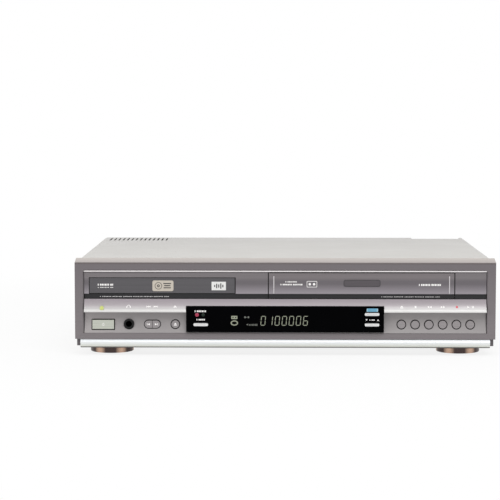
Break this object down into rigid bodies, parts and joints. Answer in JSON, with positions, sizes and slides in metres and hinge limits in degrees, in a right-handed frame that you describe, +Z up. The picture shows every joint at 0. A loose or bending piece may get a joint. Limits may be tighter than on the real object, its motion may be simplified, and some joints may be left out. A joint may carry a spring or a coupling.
{
  "type": "dvd vcr combo player",
  "caption": "Wide flat combined disc player and cassette recorder with a sliding disc tray, a sprung cassette flap, a display window, press keys and round feet.",
  "frame": {"origin": "middle of the bounding box at the floor", "axes": "+X to the right across the front, +Y to the rear, +Z up; the front faces -Y"},
  "size_m": [0.43, 0.302, 0.099],
  "materials": {
    "cover_paint": "fine satin paint on sheet steel",
    "zinc_steel": "zinc-plated sheet",
    "bezel_grey": "satin metallic grey moulding",
    "door_grey": "fine horizontal hairline, metallic grey",
    "fascia_grey": "fine horizontal hairline, darker grey",
    "legend_silver": "bright silver lacquer",
    "control_grey": "satin metallic grey",
    "plinth_silver": "bright silver lacquer",
    "foot_bronze": "dark bronze metallised plastic",
    "pad_rubber": "soft rubber",
    "screw_black": "black oxide",
    "window_black": "gloss smoked black",
    "tube_glass": "dark display glass",
    "lamp_lens": "clear yellow-green lens",
    "jack_black": "black",
    "board_brown": "paper phenolic board",
    "board_green": "green lacquered board",
    "component_black": "black components",
    "can_steel": "tinned steel can",
    "loader_black": "black loader moulding",
    "tray_black": "black tray moulding",
    "gear_white": "natural acetal",
    "motor_steel": "motor can",
    "pickup_metal": "cast sled",
    "drum_aluminium": "turned and lapped",
    "capstan_steel": "ground shaft",
    "roller_rubber": "pinch roller rubber",
    "button_silver": "silver lacquer",
    "power_silver": "pale green-silver lacquer",
    "pill_white": "white-silver"
  },
  "bodies": {
    "case": {"bottom_chassis": "zinc_steel", "top_cover": "cover_paint", "rear_panel": "zinc_steel", "front_bezel": "bezel_grey", "base_plinth": "plinth_silver", "feet": "foot_bronze", "foot_pads": "pad_rubber", "case_screws": "screw_black", "door_surround": "door_grey", "legend_strip": "legend_silver", "control_panel": "control_grey", "display_window": "window_black", "display_module": "tube_glass", "power_led_lens": "lamp_lens", "headphone_jack": "jack_black", "front_circuit_board": "board_brown", "main_circuit_board": "board_green", "power_supply_board": "board_brown", "power_supply_parts": "component_black", "tuner_box": "can_steel", "scart_sockets": "jack_black", "av_jacks": "jack_black", "power_inlet": "jack_black", "loader_frame": "loader_black", "loading_motor": "motor_steel", "clamp_bridge": "zinc_steel", "deck_plate": "zinc_steel", "basket_guides": "zinc_steel", "lower_drum": "drum_aluminium", "capstan_motor": "motor_steel", "tape_heads": "capstan_steel"},
    "tray": {"disc_tray": "tray_black", "tray_fascia": "fascia_grey"},
    "tray_gear": {"tray_drive_gear": "gear_white"},
    "traverse": {"traverse_plate": "zinc_steel", "spindle_motor": "motor_steel"},
    "disc_table": {"turntable": "loader_black"},
    "laser": {"optical_pickup": "pickup_metal"},
    "clamp": {"disc_clamp": "gear_white"},
    "flap": {"cassette_flap": "door_grey"},
    "carriage": {"basket_carriage": "zinc_steel"},
    "basket": {"cassette_basket": "zinc_steel"},
    "supply_table": {"supply_reel": "gear_white"},
    "takeup_table": {"takeup_reel": "gear_white"},
    "drum_rotor": {"upper_drum": "drum_aluminium"},
    "capstan_rotor": {"capstan": "capstan_steel"},
    "pinch_arm": {"pinch_roller": "roller_rubber"},
    "power_key": {"power_button": "power_silver"},
    "skip_back_key": {"skip_back_button": "button_silver"},
    "skip_next_key": {"skip_next_button": "button_silver"},
    "open_close_key": {"open_close_button": "button_silver"},
    "eject_key": {"eject_button": "button_silver"},
    "stop_key": {"stop_button": "button_silver"},
    "rewind_key": {"rewind_button": "button_silver"},
    "forward_key": {"forward_button": "button_silver"},
    "record_key": {"record_button": "button_silver"},
    "play_key": {"play_button": "button_silver"},
    "source_select_key": {"source_select_button": "pill_white"},
    "copy_key": {"copy_button": "pill_white"},
    "rocker_key": {"channel_rocker": "pill_white"}
  },
  "joints": [
    {"name": "tray_slide", "type": "slide", "parent": "case", "child": "tray", "axis": [0, -1, 0], "range_m": [0, 0.145]},
    {"name": "tray_gear_spin", "type": "hinge", "parent": "case", "child": "tray_gear", "pos_m": [-0.17718, -0.119, 0.064], "axis": [0, 0, 1], "range_deg": [0, 866]},
    {"name": "traverse_tilt", "type": "hinge", "parent": "case", "child": "traverse", "pos_m": [-0.1255, 0.016, 0.051], "axis": [1, 0, 0], "range_deg": [0, 3]},
    {"name": "disc_spin", "type": "hinge", "parent": "traverse", "child": "disc_table", "pos_m": [-0.1255, -0.075, 0.0739], "axis": [0, 0, 1], "continuous": true},
    {"name": "laser_slide", "type": "slide", "parent": "traverse", "child": "laser", "axis": [0, 1, 0], "range_m": [0, 0.034]},
    {"name": "clamp_spin", "type": "hinge", "parent": "case", "child": "clamp", "pos_m": [-0.1255, -0.075, 0.0823], "axis": [0, 0, 1], "continuous": true},
    {"name": "flap_hinge", "type": "hinge", "parent": "case", "child": "flap", "pos_m": [0.0781, -0.142, 0.09], "axis": [1, 0, 0], "range_deg": [0, 90], "stiffness_Nm_per_rad": 0.006},
    {"name": "carriage_slide", "type": "slide", "parent": "case", "child": "carriage", "axis": [0, 1, 0], "range_m": [0, 0.024]},
    {"name": "basket_lower", "type": "slide", "parent": "carriage", "child": "basket", "axis": [0, 0, -1], "range_m": [0, 0.026]},
    {"name": "supply_spin", "type": "hinge", "parent": "case", "child": "supply_table", "pos_m": [0.0291, -0.042, 0.0315], "axis": [0, 0, 1], "continuous": true},
    {"name": "takeup_spin", "type": "hinge", "parent": "case", "child": "takeup_table", "pos_m": [0.1271, -0.042, 0.0315], "axis": [0, 0, 1], "continuous": true},
    {"name": "drum_spin", "type": "hinge", "parent": "case", "child": "drum_rotor", "pos_m": [0.0781, 0.045, 0.038], "axis": [0, 0.1045, 0.9945], "continuous": true},
    {"name": "capstan_spin", "type": "hinge", "parent": "case", "child": "capstan_rotor", "pos_m": [0.1161, 0.025, 0.03], "axis": [0, 0, 1], "continuous": true},
    {"name": "pinch_swing", "type": "hinge", "parent": "case", "child": "pinch_arm", "pos_m": [0.14, 0.03798, 0.04], "axis": [0, 0, 1], "range_deg": [0, 35]},
    {"name": "rocker_tilt", "type": "hinge", "parent": "case", "child": "rocker_key", "pos_m": [0.0888, -0.1465, 0.0322], "axis": [0, 0, 1], "range_deg": [-4, 4], "stiffness_Nm_per_rad": 0.08},
    {"name": "power_press", "type": "slide", "parent": "case", "child": "power_key", "axis": [0, 1, 0], "range_m": [0, 0.001], "stiffness_N_per_m": 900},
    {"name": "skip_back_press", "type": "slide", "parent": "case", "child": "skip_back_key", "axis": [0, 1, 0], "range_m": [0, 0.001], "stiffness_N_per_m": 900},
    {"name": "skip_next_press", "type": "slide", "parent": "case", "child": "skip_next_key", "axis": [0, 1, 0], "range_m": [0, 0.001], "stiffness_N_per_m": 900},
    {"name": "open_close_press", "type": "slide", "parent": "case", "child": "open_close_key", "axis": [0, 1, 0], "range_m": [0, 0.001], "stiffness_N_per_m": 900},
    {"name": "eject_press", "type": "slide", "parent": "case", "child": "eject_key", "axis": [0, 1, 0], "range_m": [0, 0.001], "stiffness_N_per_m": 900},
    {"name": "stop_press", "type": "slide", "parent": "case", "child": "stop_key", "axis": [0, 1, 0], "range_m": [0, 0.001], "stiffness_N_per_m": 900},
    {"name": "rewind_press", "type": "slide", "parent": "case", "child": "rewind_key", "axis": [0, 1, 0], "range_m": [0, 0.001], "stiffness_N_per_m": 900},
    {"name": "forward_press", "type": "slide", "parent": "case", "child": "forward_key", "axis": [0, 1, 0], "range_m": [0, 0.001], "stiffness_N_per_m": 900},
    {"name": "record_press", "type": "slide", "parent": "case", "child": "record_key", "axis": [0, 1, 0], "range_m": [0, 0.001], "stiffness_N_per_m": 900},
    {"name": "play_press", "type": "slide", "parent": "case", "child": "play_key", "axis": [0, 1, 0], "range_m": [0, 0.001], "stiffness_N_per_m": 900},
    {"name": "source_select_press", "type": "slide", "parent": "case", "child": "source_select_key", "axis": [0, 1, 0], "range_m": [0, 0.001], "stiffness_N_per_m": 900},
    {"name": "copy_press", "type": "slide", "parent": "case", "child": "copy_key", "axis": [0, 1, 0], "range_m": [0, 0.001], "stiffness_N_per_m": 900}
  ],
  "couplings": [
    {"joint": "tray_gear_spin", "follows": "tray_slide", "rad_per_m": 104.17}
  ]
}
